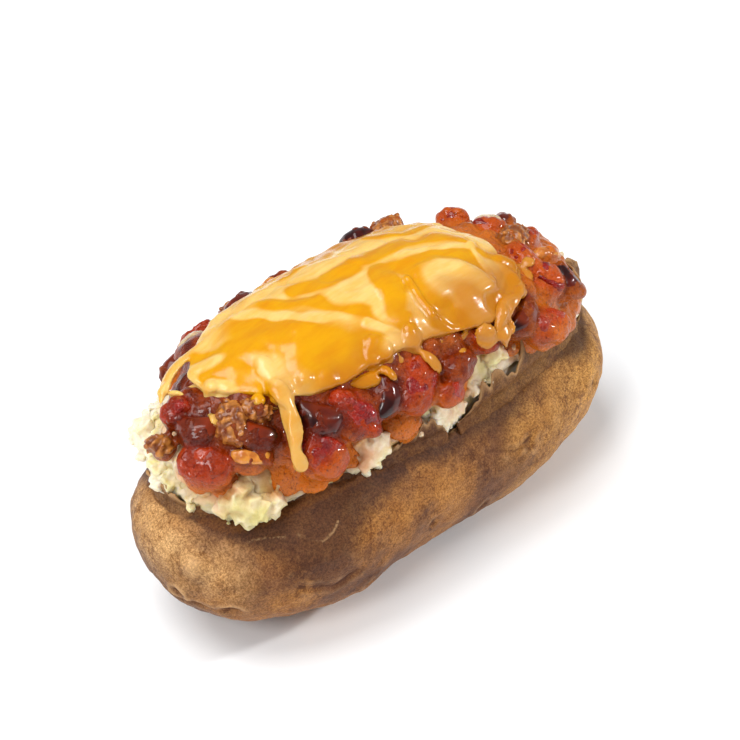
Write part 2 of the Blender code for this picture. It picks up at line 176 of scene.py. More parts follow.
# Eyes of the potato, the first one raised: place in mm, size and depth in mm.
EYES = (
    ((-67, -9, 32), 5.0, -1.6), ((-68, -5, 22), 2.6, 1.2), ((-64, -18, 20), 4.0, 0.7),
    ((6, -30, 18), 3.0, 0.9), ((48, -24, 28), 3.4, 0.7),
    ((-30, -30, 14), 3.0, 0.8), ((30, 28, 20), 3.6, 1.0), ((-24, 30, 26), 3.2, 0.9), ((66, 8, 24), 3.4, 1.0),
    ((-48, 24, 18), 3.0, 0.8), ((2, 31, 14), 3.0, 0.8), ((20, -31, 30), 2.4, 0.5), ((-12, -32, 24), 2.2, 0.5),
)

# Folds in the skin, and raised tears where the depth is negative: half-width and depth in mm, places in mm.
FOLDS = (
    (0.6, -0.45, ((-48, -25, 41), (-46, -26, 38), (-43, -27, 36), (-40, -28, 38), (-38, -28, 40))),
    (0.5, -0.35, ((-58, -18, 41), (-54, -21, 42), (-51, -23, 41))),
    (1.6, 1.0, ((-62, 14, 16), (-67, 4, 18), (-66, -8, 20), (-61, -17, 22))),
    (1.4, 0.6, ((-50, -26, 26), (-42, -29, 22), (-36, -30, 24))),
    (1.4, 0.6, ((52, -20, 20), (60, -12, 22), (66, -2, 20))),
    (1.2, 0.5, ((8, -31, 34), (16, -31, 30), (22, -31, 31))),
    (1.6, 0.7, ((-30, 30, 30), (-18, 32, 24), (-6, 32, 27))),
    (1.4, 0.6, ((34, 28, 16), (46, 24, 22), (54, 20, 20))),
)

# Torn edges of skin that stand up from the rim: name, first and last turn in degrees, height and curl in mm.
FLAPS = (
    ("end", 150, 186, 4.0, 1.3),
    ("notch", -176, -150, 4.5, 1.4),
    ("front", -146, -121, 5.5, 0.8),
    ("middle", -116, -90, 5.0, 0.7),
    ("side", -86, -28, 8.5, 0.3),
    ("tip", -33, -8, 7.5, 2.8),
    ("back", 22, 64, 5.5, 1.0),
    ("back_end", 84, 134, 5.0, 0.9),
)
FLAP_ROOT = 3.4  # how far below the rim a torn edge starts, in mm
FLAP_WALL = 0.55  # its thickness in mm

# Each side of a random lump, from and to this share of its size.
CRUMB_SIDES = ((0.7, 1.3), (0.6, 1.1), (0.5, 1.0))
CHUNK_SIDES = ((0.8, 1.4), (0.7, 1.1), (0.5, 0.9))

# The camera's turn from +X about +Z and its height in degrees, what it looks at and its distance in metres.
CAMERA_TURN = -134
CAMERA_HEIGHT = 40
CAMERA_AIM = (0.0025, 0.0052, 0.0410)
CAMERA_DISTANCE = 0.507

# Soft panels: name, turn from +X about +Z and height in degrees, distance and size in metres, power in watts.
LIGHTS = (
    ("key", 152, 68, 1.5, 0.9, 16.5),
    ("left", 198, 44, 1.5, 0.4, 9.0),
    ("right", -40, 34, 1.5, 0.12, 10.0),
)
SKY_COLOUR = (0.86, 0.93, 1, 1)
SKY_STRENGTH = 0.31
FLOOR_COLOUR = (0.96, 0.96, 0.96, 1)
FLOOR_GAP = 0.2 * MM


def linear(red, green, blue):
    """A colour from its 0 to 255 screen values."""
    return (*((c / 255) ** 2.2 for c in (red, green, blue)), 1)


def clamp(value, low=0.0, high=1.0):
    return max(low, min(high, value))


# ---------------------------------------------------------------- shaping


def cad_copy(*nodes):
    """A bmesh of CAD nodes' surfaces, their loose triangles merged."""
    shape = bmesh.new()
    for node in nodes:
        shape.from_mesh(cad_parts[node].data)
    bmesh.ops.remove_doubles(shape, verts=shape.verts, dist=1e-6)
    return shape


def smooth(shape, rounds):
    axes = {"use_axis_x": True, "use_axis_y": True, "use_axis_z": True}
    for _ in range(rounds):
        bmesh.ops.smooth_vert(shape, verts=shape.verts, factor=0.5, **axes)


def remeshed(shape, kind):
    """The shape's outside as one skin of even faces of this kind's size."""
    mesh = bpy.data.meshes.new("rough")
    shape.to_mesh(mesh)
    shape.free()
    rough = bpy.data.objects.new("rough", mesh)
    bpy.context.scene.collection.objects.link(rough)
    modifier = rough.modifiers.new("even", "REMESH")
    modifier.mode = "VOXEL"
    modifier.voxel_size = FACE[kind] * MM
    bpy.context.view_layer.update()
    even = bpy.data.meshes.new_from_object(rough.evaluated_get(bpy.context.evaluated_depsgraph_get()))
    shape = bmesh.new()
    shape.from_mesh(even)
    bpy.data.objects.remove(rough)
    bpy.data.meshes.remove(mesh)
    bpy.data.meshes.remove(even)
    return shape


def push(shape, amount):
    """Moves each vertex along its normal by amount(place, normal)."""
    shape.normal_update()
    moves = [amount(v.co, v.normal) for v in shape.verts]
    for vertex, move in zip(shape.verts, moves):
        vertex.co += vertex.normal * move


def lumps(place, size, seed=0.0):
    """Smooth noise from -1 to 1 with lumps this far apart."""
    return noise.noise(place / size + Vector((seed, seed, seed)))


def tree_of(*nodes):
    shape = cad_copy(*nodes)
    tree = BVHTree.FromBMesh(shape)
    shape.free()
    return tree


def heap_axis(along):
    return Vector((along * MM, AXIS_SIDE + math.tan(AXIS_SKEW) * along * MM, AXIS_HEIGHT))


def on_heap(tree, along, roll):
    """The outermost place of the tree there, and its normal."""
    middle = heap_axis(along)
    way = Vector((0, -math.sin(math.radians(roll)), math.cos(math.radians(roll))))
    place, normal, _, _ = tree.ray_cast(middle + way * OUTSIDE, -way)
    if place is None:
        place, normal, _, _ = tree.find_nearest(middle + way * 25 * MM)
    return place, normal


def add_disc(shape, place, normal, radius, thickness, detail=3):
    """A flat rounded blob that lies on a surface."""
    turn = normal.to_track_quat("Z", "X").to_matrix().to_4x4()
    scale = Matrix.Diagonal((radius * MM, radius * MM, thickness * MM, 1))
    matrix = Matrix.Translation(place) @ turn @ scale
    bmesh.ops.create_icosphere(shape, subdivisions=detail, radius=1, matrix=matrix)


def drop_islands(shape, fewest):
    """Removes loose bits with fewer vertices than this."""
    waiting, small = set(shape.verts), []
    while waiting:
        island = [waiting.pop()]
        for vertex in island:
            for edge in vertex.link_edges:
                other = edge.other_vert(vertex)
                if other in waiting:
                    waiting.remove(other)
                    island.append(other)
        if len(island) < fewest:
            small += island
    bmesh.ops.delete(shape, geom=small, context="VERTS")


def mark(shape, name, values):
    """Keeps one number a vertex for the material."""
    layer = shape.verts.layers.float.get(name) or shape.verts.layers.float.new(name)
    for vertex, value in zip(shape.verts, values):
        vertex[layer] = value


def crevices(shape, rounds):
    """Marks how far each vertex stands out of its surroundings, in mm."""
    before = [v.co.copy() for v in shape.verts]
    smooth(shape, rounds)
    shape.normal_update()
    heights = [(old - v.co).dot(v.normal) / MM for old, v in zip(before, shape.verts)]
    for vertex, old in zip(shape.verts, before):
        vertex.co = old
    mark(shape, "standing", heights)


def finish_piece(name, shape, material, replaces=()):
    """Makes the bmesh a piece that rides on the potato."""
    shape.normal_update()
    mesh = bpy.data.meshes.new(name)
    shape.to_mesh(mesh)
    shape.free()
    mesh.shade_smooth()
    mesh.materials.append(material)
    piece = bpy.data.objects.new(name, mesh)
    bpy.context.scene.collection.objects.link(piece)
    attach(piece, "root")
    if replaces:
        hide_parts(*replaces)


# ---------------------------------------------------------------- materials


def add_node(tree, kind, inputs=None, **settings):
    made = tree.nodes.new(kind)
    for key, value in settings.items():
        setattr(made, key, value)
    for key, value in (inputs or {}).items():
        if isinstance(value, bpy.types.NodeSocket):
            tree.links.new(value, made.inputs[key])
        else:
            made.inputs[key].default_value = value
    return made


def new_finish(name, **values):
    """A material's node tree and shader, with these values on the shader's own sockets."""
    material = bpy.data.materials.new(name)
    material.use_nodes = True
    shader = material.node_tree.nodes["Principled BSDF"]
    for key, value in values.items():
        shader.inputs[key.replace("_", " ")].default_value = value
    return material, material.node_tree, shader


def grain(tree, size, detail=3.0, roughness=0.6, stretch=(1, 1, 1)):
    """Noise with lumps about this many mm apart."""
    place = add_node(tree, "ShaderNodeTexCoord").outputs["Object"]
    scale = [share / (size * MM) for share in stretch]
    scaled = add_node(tree, "ShaderNodeMapping", {"Vector": place, "Scale": scale})
    inputs = {"Vector": scaled.outputs[0], "Scale": 1.0, "Detail": detail, "Roughness": roughness}
    return add_node(tree, "ShaderNodeTexNoise", inputs).outputs["Fac"]


def stretch_range(tree, value, low, high, to_low=0.0, to_high=1.0):
    inputs = {"Value": value, "From Min": low, "From Max": high, "To Min": to_low, "To Max": to_high}
    return add_node(tree, "ShaderNodeMapRange", inputs, interpolation_type="SMOOTHSTEP").outputs[0]


def mix(tree, factor, first, second, blend="MIX"):
    made = add_node(tree, "ShaderNodeMix", data_type="RGBA", blend_type=blend)
    for key, value in ((0, factor), (6, first), (7, second)):
        if isinstance(value, bpy.types.NodeSocket):
            tree.links.new(value, made.inputs[key])
        else:
            made.inputs[key].default_value = value
    return made.outputs[2]


def tinted(tree, colour, red, green, blue):
    """The colour multiplied by this one."""
    return mix(tree, 1.0, colour, linear(red, green, blue), "MULTIPLY")


def measure(tree, name):
    """The number that mark() kept under this name."""
    return add_node(tree, "ShaderNodeAttribute", attribute_name=name).outputs["Fac"]


def relief(tree, shader, *layers):
    """Bump from (height, depth in mm) layers."""
    normal = None
    for height, depth in layers:
        inputs = {"Height": height, "Distance": depth * MM, "Strength": 1.0}
        if normal is not None:
            inputs["Normal"] = normal
        normal = add_node(tree, "ShaderNodeBump", inputs).outputs[0]
    tree.links.new(normal, shader.inputs["Normal"])


def skin_finish():
    material, tree, shader = new_finish("baked_skin", Roughness=0.55, Specular_IOR_Level=0.22)
    patches = stretch_range(tree, grain(tree, 26, 4, 0.6), 0.38, 0.62)
    mottle = stretch_range(tree, grain(tree, 5, 5, 0.75), 0.4, 0.6)
    net = stretch_range(tree, grain(tree, 1.7, 4, 0.8), 0.42, 0.52)
    net_patches = stretch_range(tree, grain(tree, 11, 3, 0.6), 0.42, 0.6, 0.1, 1.0)
    fibre = stretch_range(tree, grain(tree, 0.5, 5, 0.8), 0.4, 0.6)
    colour = mix(tree, patches, linear(198, 136, 70), linear(134, 88, 56))
    # The pale end: partly the skin's lighter tone, partly painted light that is strongest high up.
    colour = mix(tree, measure(tree, "pale_and_lit_end"), colour, linear(244, 194, 130))
    colour = mix(tree, measure(tree, "tan"), colour, linear(224, 164, 86))
    colour = mix(tree, mottle, tinted(tree, colour, 222, 212, 200), colour)
    netted = mix(tree, net, tinted(tree, colour, 190, 172, 152), colour)
    colour = mix(tree, net_patches, colour, netted)
    # Darker below the rim: partly stain, partly painted shadow under the overhanging flesh.
    under = stretch_range(tree, measure(tree, "under_rim"), 0.1, 0.7, 0.0, 0.82)
    colour = mix(tree, under, colour, linear(84, 52, 36))
    colour = mix(tree, measure(tree, "inside"), colour, linear(120, 74, 36))
    colour = mix(tree, fibre, tinted(tree, colour, 180, 168, 156), colour)
    # Raised bumps are painted lighter as painted light; on the torn edges this mark is their real pale torn
    # top.
    pale_edge_and_ridge_light = stretch_range(tree, measure(tree, "standing"), 0.05, 0.5, 0.0, 0.4)
    colour = mix(tree, pale_edge_and_ridge_light, colour, linear(232, 184, 128))
    # Painted shade in dents, eyes and folds.
    crease_shade = stretch_range(tree, measure(tree, "standing"), -0.4, -0.05, 0.8, 0.0)
    colour = mix(tree, crease_shade, colour, linear(84, 50, 34))
    tree.links.new(colour, shader.inputs["Base Color"])
    relief(tree, shader, (grain(tree, 2.0, 4, 0.6), 0.3), (grain(tree, 0.45, 3, 0.7), 0.14))
    return material


def flesh_finish():
    material, tree, shader = new_finish(
        "potato_flesh",
        Roughness=0.42,
        Subsurface_Weight=0.5,
        Subsurface_Scale=0.003,
        Subsurface_Radius=(1, 0.8, 0.4),
    )
    tint = stretch_range(tree, grain(tree, 8, 3), 0.46, 0.66)
    grit = stretch_range(tree, grain(tree, 1.2, 4, 0.7), 0.3, 0.7)
    colour = mix(tree, tint, linear(252, 240, 216), linear(238, 226, 164))
    colour = mix(tree, measure(tree, "waxy"), colour, linear(208, 198, 122))
    colour = mix(tree, measure(tree, "stained"), colour, linear(206, 128, 48))
    colour = mix(tree, grit, tinted(tree, colour, 242, 236, 220), colour)
    # Painted shade in the crevices of the flesh.
    deep = stretch_range(tree, measure(tree, "standing"), -0.35, 0.05, 0.55, 0.0)
    colour = mix(tree, deep, colour, linear(214, 186, 118))
    tree.links.new(colour, shader.inputs["Base Color"])
    relief(tree, shader, (grain(tree, 1.0, 4, 0.7), 0.25))
    return material


def sauce_finish():
    material, tree, shader = new_finish(
        "chili_sauce",
        Roughness=0.3,
        Specular_IOR_Level=0.15,
        Subsurface_Weight=0.1,
        Subsurface_Scale=0.002,
        Subsurface_Radius=(1, 0.25, 0.08),
        Coat_Weight=0.3,
        Coat_Roughness=0.03,
    )
    patches = stretch_range(tree, grain(tree, 3.6, 4, 0.65), 0.38, 0.62)
    spice = stretch_range(tree, grain(tree, 0.8, 3, 0.7), 0.55, 0.72, 0.0, 0.8)
    colour = mix(tree, patches, linear(112, 42, 9), linear(162, 72, 16))
    colour = mix(tree, measure(tree, "orange"), colour, linear(204, 108, 28))
    by_tomato = stretch_range(tree, measure(tree, "by_tomato"), 0, 1, 0, 0.7)
    colour = mix(tree, by_tomato, colour, linear(168, 44, 8))
    colour = mix(tree, measure(tree, "by_bean"), colour, linear(92, 24, 8))
    colour = mix(tree, measure(tree, "by_beef"), colour, linear(142, 72, 22))
    thin = stretch_range(tree, measure(tree, "thin"), 0, 1, 0, 0.85)
    colour = mix(tree, thin, colour, linear(206, 108, 20))
    colour = mix(tree, spice, colour, linear(84, 28, 6))
    colour = mix(tree, measure(tree, "deep"), colour, tinted(tree, colour, 196, 160, 150))
    tree.links.new(colour, shader.inputs["Base Color"])
    relief(tree, shader, (grain(tree, 2.0, 3, 0.6), 0.6), (grain(tree, 0.9, 2, 0.6), 0.55))
    return material


def cheese_finish():
    material, tree, shader = new_finish(
        "melted_cheese",
        Roughness=0.2,
        Specular_IOR_Level=0.36,
        Subsurface_Weight=0.3,
        Subsurface_Scale=0.003,
        Subsurface_Radius=(1, 0.55, 0.12),
    )
    golden = stretch_range(tree, measure(tree, "golden"), 0.15, 0.85)
    streak = stretch_range(tree, grain(tree, 3, 3, 0.6, (0.25, 1, 1)), 0.35, 0.7)
    colour = mix(tree, golden, linear(234, 194, 116), linear(216, 152, 1))
    colour = mix(tree, streak, colour, tinted(tree, colour, 248, 232, 190))
    # Painted shade: darker amber down the side slopes and towards the +X end.
    colour = mix(tree, measure(tree, "painted_slope_shade"), colour, linear(182, 110, 22))
    colour = mix(tree, measure(tree, "thin"), colour, linear(190, 100, 20))
    tree.links.new(colour, shader.inputs["Base Color"])
    relief(tree, shader, (grain(tree, 4, 3, 0.5, (0.4, 1, 1)), 0.2))
    return material


def bean_finish():
    material, tree, shader = new_finish(
        "kidney_bean", Roughness=0.3, Specular_IOR_Level=0.2, Coat_Weight=0.45, Coat_Roughness=0.04
    )
    patches = stretch_range(tree, grain(tree, 6, 3), 0.4, 0.65)
    colour = mix(tree, patches, linear(44, 10, 5), linear(84, 22, 9))
    colour = mix(tree, measure(tree, "sauced"), colour, linear(140, 52, 16))
    tree.links.new(colour, shader.inputs["Base Color"])
    relief(tree, shader, (grain(tree, 3, 3, 0.5), 0.2))
    return material


def tomato_finish():
    material, tree, shader = new_finish(
        "cooked_tomato",
        Roughness=0.25,
        Specular_IOR_Level=0.25,
        Subsurface_Weight=0.1,
        Subsurface_Scale=0.0015,
        Subsurface_Radius=(1, 0.2, 0.08),
        Coat_Weight=0.45,
        Coat_Roughness=0.04,
    )
    patches = stretch_range(tree, grain(tree, 3, 3), 0.38, 0.62)
    colour = mix(tree, patches, linear(108, 9, 5), linear(148, 26, 9))
    colour = mix(tree, measure(tree, "sauced"), colour, linear(172, 60, 12))
    tree.links.new(colour, shader.inputs["Base Color"])
    relief(tree, shader, (grain(tree, 1.8, 3, 0.6), 0.6), (grain(tree, 0.9, 2, 0.6), 0.4))
    return material


def beef_finish():
    material, tree, shader = new_finish(
        "minced_beef", Roughness=0.35, Specular_IOR_Level=0.4, Coat_Weight=0.3, Coat_Roughness=0.12
    )
    patches = stretch_range(tree, grain(tree, 2.2, 3), 0.35, 0.65)
    colour = mix(tree, patches, linear(138, 72, 24), linear(194, 122, 52))
    # Painted shade in the crevices between the beef's granules.
    colour = mix(tree, stretch_range(tree, measure(tree, "standing"), -0.15, 0.1), linear(80, 28, 12), colour)
    tree.links.new(colour, shader.inputs["Base Color"])
    relief(tree, shader, (grain(tree, 0.8, 3, 0.7), 0.2))
    return material


def pepper_finish():
    material, tree, shader = new_finish(
        "cooked_pepper",
        Roughness=0.25,
        Coat_Weight=0.4,
        Coat_Roughness=0.08,
        Subsurface_Weight=0.25,
        Subsurface_Scale=0.0015,
    )
    patches = stretch_range(tree, grain(tree, 3, 3), 0.35, 0.65)
    colour = mix(tree, patches, linear(176, 98, 34), linear(214, 138, 54))
    tree.links.new(colour, shader.inputs["Base Color"])
    relief(tree, shader, (grain(tree, 1.4, 3, 0.6), 0.2))
    return material


def onion_finish():
    material, tree, shader = new_finish(
        "cooked_onion",
        Roughness=0.3,
        Coat_Weight=0.3,
        Coat_Roughness=0.1,
        Subsurface_Weight=0.4,
        Subsurface_Scale=0.002,
    )
    patches = stretch_range(tree, grain(tree, 2, 3), 0.35, 0.65)
    colour = mix(tree, patches, linear(214, 186, 146), linear(184, 150, 108))
    tree.links.new(colour, shader.inputs["Base Color"])
    relief(tree, shader, (grain(tree, 1.4, 3, 0.6), 0.2))
    return material


# ---------------------------------------------------------------- the layers


def turn_of(place):
    """The turn round the potato at this place in degrees, with its width stretched to its length."""
    return math.degrees(math.atan2(place.y / HALF_WIDTH, place.x / HALF_LENGTH))


def rim_places():
    """The jacket's torn rim: (turn in degrees, place), in order round the potato."""
    shape = cad_copy("jacket")
    found = {}
    for edge in shape.edges:
        if edge.is_manifold and edge.calc_face_angle() > 0.7:
            for vertex in edge.verts:
                if vertex.co.z > 20 * MM:
                    found[round(turn_of(vertex.co), 3)] = vertex.co.copy()
    shape.free()
    return sorted(found.items())


def rim_at(rim, turn):
    """The place on the rim at this turn."""
    turn = (turn + 180) % 360 - 180
    closed = [(rim[-1][0] - 360, rim[-1][1]), *rim, (rim[0][0] + 360, rim[0][1])]
    for (low, start), (high, end) in zip(closed, closed[1:]):
        if low <= turn <= high:
            return start.lerp(end, (turn - low) / max(1e-6, high - low))
    return rim[0][1]


def mark_ends(shape):
    """How much each vertex takes the lighter colour of either end; the pale end is partly the skin's own tone
    and partly painted light that fades towards its bottom.
    """
    uneven = [0.35 * lumps(v.co, 12 * MM, 9) for v in shape.verts]
    # Painted light: the pale end fades out towards the bottom, where less light falls.
    low = [clamp((v.co.z / MM - 18) / 18, 0.15) for v in shape.verts]
    for name, start, span, fade in (("pale_and_lit_end", -58, -11, low), ("tan", 6, 34, [1.0] * len(low))):
        share = [(v.co.x / MM - start) / span + change for v, change in zip(shape.verts, uneven)]
        mark(shape, name, [clamp(value) * part for value, part in zip(share, fade)])


def under_flap(rim, place):
    """Whether a torn edge of skin covers this place."""
    turn = turn_of(place)
    above = (place.z - rim_at(rim, turn).z) / MM
    for _, start, end, height, _ in FLAPS:
        if start + 2 < turn < end - 2 or start + 2 < turn + 360 < end - 2:
            return above < height * 0.8
    return False


def make_jacket():
    flesh = tree_of("flesh")
    rim = rim_places()
    shape = remeshed(cad_copy("jacket"), "jacket")
    smooth(shape, 4)
    near_flesh = [flesh.find_nearest(v.co)[3] / MM for v in shape.verts]
    rim_co = np.array([rim_at(rim, turn) for turn in range(-180, 180, 2)])
    co = np.array([v.co for v in shape.verts])
    to_rim = np.min(np.linalg.norm(co[:, None] - rim_co[None], axis=2), axis=1) / MM

    def uneven(place, normal):
        broad = 0.75 * lumps(place, 13 * MM, 3) + 0.3 * lumps(place, 5 * MM, 3)
        fine = 0.16 * lumps(place, 2.2 * MM, 7)
        return (broad + fine) * MM if place.z > 1.5 * MM else 0.0

    push(shape, uneven)
    # The rim is torn up and down.
    for vertex, distance in zip(shape.verts, to_rim):
        ragged = 1.2 * lumps(vertex.co, 5 * MM, 4) + 0.7 * lumps(vertex.co, 2 * MM, 4)
        vertex.co.z += MM * math.exp(-((distance / 2.5) ** 2)) * ragged
    skin = tree_of("jacket")
    for spot, size, depth in EYES:
        eye = skin.find_nearest(Vector(spot) * MM)[0]
        for vertex in shape.verts:
            away = (vertex.co - eye).length / (size * MM)
            if away < 2.5:
                dip = math.exp(-away * away * 4) - 0.5 * math.exp(-((away - 1) ** 2) * 5)
                vertex.co -= vertex.normal * depth * MM * dip
    for half_width, depth, places in FOLDS:
        path = np.array([skin.find_nearest(Vector(place) * MM)[0] for place in places])
        share = ribbon_share(np.array([v.co for v in shape.verts]), path, half_width * 2 * MM)
        for vertex, deep in zip(shape.verts, share):
            vertex.co -= vertex.normal * 1.5 * depth * MM * (deep * deep - 0.8 * deep * (1 - deep))
    mark(shape, "inside", [1.0 if d < 1.1 and r > 2.5 else 0.0 for d, r in zip(near_flesh, to_rim)])
    # The skin is darker below the rim, partly stain and partly painted shadow of the flesh that hangs over
    # it: widest under the clump, and little at the pale end.
    stain_and_shadow_width = [(5.5 if v.co.x > -15 * MM else 8) + 5 * lumps(v.co, 14 * MM, 17) for v in shape.verts]
    for number, vertex in enumerate(shape.verts):
        if vertex.co.y < 0:
            stain_and_shadow_width[number] += 13 * math.exp(-(((vertex.co.x + 42 * MM) / (15 * MM)) ** 2))
        if vertex.co.x < -54 * MM:
            stain_and_shadow_width[number] *= max(0.3, 1 + (vertex.co.x / MM + 54) / 12)
    mark(shape, "under_rim", [math.exp(-((r / w) ** 2)) for r, w in zip(to_rim, stain_and_shadow_width)])
    mark_ends(shape)
    crevices(shape, 12)
    material = skin_finish()
    finish_piece("potato_jacket", shape, material, ["jacket"])
    for flap in FLAPS:
        make_flap(rim, material, *flap)


def make_flap(rim, material, name, start, end, height, curl):
    """A torn edge of skin: a thin sheet that follows the flesh up from the rim and curls off it."""
    skin, flesh = tree_of("jacket"), tree_of("flesh")
    shape = bmesh.new()
    bmesh.ops.create_grid(shape, x_segments=int((end - start) * 1.6), y_segments=16, size=1)
    inner = list(shape.verts)
    made = bmesh.ops.extrude_face_region(shape, geom=shape.faces[:], use_keep_orig=True)
    outer = [item for item in made["geom"] if isinstance(item, bmesh.types.BMVert)]
    lip = []
    for side, vertices in ((0, inner), (1, outer)):
        for vertex in vertices:
            share, rise = (vertex.co.x + 1) / 2, (vertex.co.y + 1) / 2
            lip.append(0.5 * max(0.0, (rise - 0.82) / 0.18))  # pale along its torn top
            turn = start + (end - start) * share
            base = rim_at(rim, turn)
            inward = (Vector((base.x * 0.8, 0, 45 * MM)) - base).normalized()
            wave = 0.7 * noise.noise(Vector((turn * 0.13, height, 1)))
            tear = 0.5 * noise.noise(Vector((turn * 0.5, height, 2)))
            top = height * (1 + wave + tear) * math.sin(math.pi * clamp(share, 0.02, 0.98)) ** 0.5
            above = -FLAP_ROOT + (top + FLAP_ROOT) * rise
            outward = Vector((base.x * 0.25, base.y, 12 * MM)).normalized()
            away = inward * max(0, above) * 0.6 - outward * min(0, above) + Vector((0, 0, 1)) * above
            guide = base + away * MM
            place = (skin if above < 0 else flesh).find_nearest(guide)[0]
            lift = min(1.1, 1.1 + 0.55 * above) + curl * max(0, rise - 0.4) ** 2 * 2
            vertex.co = place + outward * (lift + FLAP_WALL * side) * MM
    bmesh.ops.recalc_face_normals(shape, faces=shape.faces)
    smooth(shape, 3)
    push(shape, lambda place, normal: MM * (0.4 * lumps(place, 3 * MM, 5) + 0.2 * lumps(place, 1.2 * MM, 5)))
    mark(shape, "inside", [0.0] * len(shape.verts))
    # The torn edges take half of the darkening below the rim: part stain, part painted shade.
    mark(shape, "under_rim", [0.5] * len(shape.verts))
    mark_ends(shape)
    mark(shape, "standing", lip)
    finish_piece("skin_flap_" + name, shape, material)


def random_way(rng):
    """A random direction."""
    while True:
        way = Vector((rng.uniform(-1, 1), rng.uniform(-1, 1), rng.uniform(-1, 1)))
        if 0.1 < way.length < 1:
            return way.normalized()


def owners_tree(*nodes):
    """One tree over several nodes, and the node that each of its faces belongs to."""
    shape = bmesh.new()
    owners = []
    for node in nodes:
        before = len(shape.faces)
        shape.from_mesh(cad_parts[node].data)
        owners += [node] * (len(shape.faces) - before)
    tree = BVHTree.FromBMesh(shape)
    shape.free()
    return tree, owners


def tumbled(rng, place, size, sides):
    """The matrix of a randomly stretched and turned lump at this place."""
    scale = Matrix.Diagonal((*(size * rng.uniform(low, high) for low, high in sides), 1))
    turn = Matrix.Rotation(rng.uniform(0, math.tau), 4, random_way(rng))
    return Matrix.Translation(place) @ turn @ scale


def add_crumb(shape, rng, place, size):
    """A small uneven lump."""
    matrix = tumbled(rng, place, size, CRUMB_SIDES)
    made = bmesh.ops.create_icosphere(shape, subdivisions=1, radius=1, matrix=matrix)
    for vertex in made["verts"]:
        vertex.co += random_way(rng) * size * 0.3


def join(shape, part):
    """Adds the part to the shape; many small parts go quicker than one growing shape."""
    mesh = bpy.data.meshes.new("part")
    part.to_mesh(mesh)
    part.free()
    shape.from_mesh(mesh)
    bpy.data.meshes.remove(mesh)


def scatter(shape, rng, spots, add=add_crumb):
    """Adds one lump for each (place, size), in batches."""
    batch = 50
    for first in range(0, len(spots), batch):
        part = bmesh.new()
        for place, size in spots[first : first + batch]:
            add(part, rng, place, size)
        join(shape, part)


def add_chunk(shape, rng, place, size):
    """A block of broken flesh with flat sides."""
    matrix = tumbled(rng, place, size, CHUNK_SIDES)
    made = bmesh.ops.create_cube(shape, size=1.7, matrix=matrix)
    for vertex in made["verts"]:
        vertex.co += random_way(rng) * size * 0.25


def mark_flesh(shape):
    """How yellow the flesh is, and how far chili has stained it."""
    flesh = tree_of("flesh")
    clump, _ = on_heap(flesh, *CLUMPS[0][:2])
    pours = [(on_heap(flesh, *pour[:2])[0], pour[2] * MM) for pour in CHILI_POURS]
    chili = tree_of("chili", *(node for node in TOPPINGS if node.startswith("tomato")))
    waxy, stained = [], []
    for vertex in shape.verts:
        near = math.exp(-(((vertex.co - clump).length / (9 * MM)) ** 2))
        waxy.append(min(0.75, near * max(0.0, 0.8 + 1.2 * lumps(vertex.co, 5 * MM))))
        to_pours = [(vertex.co - place).length - radius for place, radius in pours]
        away = max(0.0, min(chili.find_nearest(vertex.co)[3], *to_pours))
        stained.append(clamp(math.exp(-away / (2.2 * MM)) * (0.8 + lumps(vertex.co, 3 * MM)), 0.0, 0.7))
    mark(shape, "waxy", waxy)
    mark(shape, "stained", stained)


def rough_break(place, normal):
    """The roughness of broken flesh."""
    return MM * (0.16 * lumps(place, 1.1 * MM) + 0.08 * lumps(place, 0.6 * MM))


def make_flesh(rng):
    material = flesh_finish()
    shape = remeshed(cad_copy("flesh"), "flesh")
    smooth(shape, 2)
    rim = rim_places()

    def tuck(place):
        """How far the flesh steps back behind a torn edge of skin, in mm."""
        near = 1.5 if place.x < -20 * MM else 0.9
        return (near if place.y < 0 else 0.8) if under_flap(rim, place) else 0.0

    push(shape, lambda place, normal: MM * (0.5 * lumps(place, 3 * MM) - tuck(place)))
    crevices(shape, 4)
    mark_flesh(shape)
    finish_piece("potato_flesh", shape, material, ["flesh"])

    tree, owners = owners_tree("jacket", "flesh", "chili", "cheese")
    only = tree_of("flesh")
    crumbs, chunks = [], []
    while len(crumbs) < CRUMBS:
        middle = heap_axis(rng.uniform(-50, 48)) - Vector((0, 0, 4 * MM))
        way = random_way(rng)
        if way.z < -0.2:
            continue
        place, normal, face, _ = tree.ray_cast(middle + way * OUTSIDE, -way)
        if place is None or owners[face] != "flesh" or under_flap(rim, place):
            continue
        size = (0.45 + 1.1 * rng.random() ** 2) * MM
        crumbs.append((place + normal * size * rng.uniform(-0.4, 0.4), size))
    for along, roll, spread, many, smallest, largest in CLUMPS:
        for _ in range(many):
            place, _ = on_heap(only, along, roll)
            away = random_way(rng) * spread * rng.random() ** 0.6 * MM
            place, normal, _, _ = only.find_nearest(place + away)
            if under_flap(rim, place):
                continue
            size = (smallest + (largest - smallest) * rng.random() ** 1.5) * MM
            chunks.append((place + normal * size * rng.uniform(0.1, 1.0), size))
    for side in ("near", "far"):

        def here(spot):
            return (spot[0].y < heap_axis(spot[0].x / MM).y) == (side == "near")

        shape = bmesh.new()
        scatter(shape, rng, [spot for spot in crumbs if here(spot)])
        scatter(shape, rng, [spot for spot in chunks if here(spot)], add_chunk)
        shape = remeshed(shape, "crumbs")
        drop_islands(shape, 700)
        smooth(shape, 1)
        push(shape, rough_break)
        crevices(shape, 6)
        mark_flesh(shape)
        finish_piece("flesh_crumbs_" + side, shape, material)


def middle_of(node):
    low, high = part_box(node)
    return (low + high) / 2


